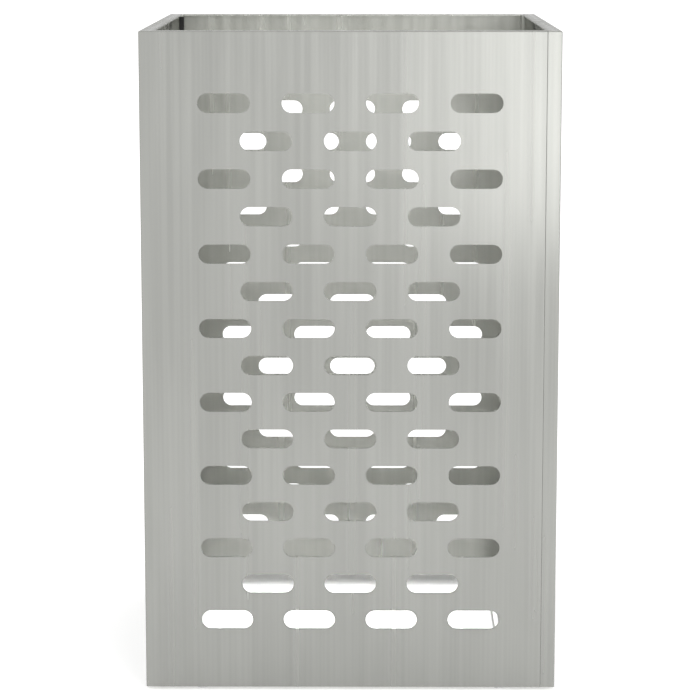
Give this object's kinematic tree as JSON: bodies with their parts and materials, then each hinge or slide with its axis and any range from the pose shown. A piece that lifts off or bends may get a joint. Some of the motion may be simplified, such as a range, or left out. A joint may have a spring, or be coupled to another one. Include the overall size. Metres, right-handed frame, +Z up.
{
  "type": "umbrella stand",
  "caption": "Square open-topped umbrella stand of perforated and plain brushed steel sheet with a lift-out drip tray.",
  "frame": {"origin": "on the floor under the middle of the stand", "axes": "+Z up, -Y towards the front, +X to the right seen from the front"},
  "size_m": [0.25, 0.25, 0.402],
  "materials": {
    "panel_steel": "vertically brushed stainless steel",
    "base_steel": "brushed stainless steel",
    "tray_plastic": "white, fine matte grain",
    "screw_steel": "bright plated steel",
    "nut_black": "black oxide",
    "trim_rubber": "satin black rubber",
    "pad_rubber": "matte off-white rubber"
  },
  "bodies": {
    "stand": {"front_panel": "panel_steel", "rear_panel": "panel_steel", "left_panel": "panel_steel", "right_panel": "panel_steel", "base_frame": "base_steel", "joint_screws": "screw_steel", "joint_nuts": "nut_black", "edge_trim": "trim_rubber", "foot_screws": "screw_steel", "foot_pads": "pad_rubber"},
    "tray": {"drip_tray": "tray_plastic"}
  },
  "joints": [
    {"name": "tray_lift", "type": "slide", "parent": "stand", "child": "tray", "axis": [0, 0, 1], "range_m": [0, 0.41]}
  ]
}
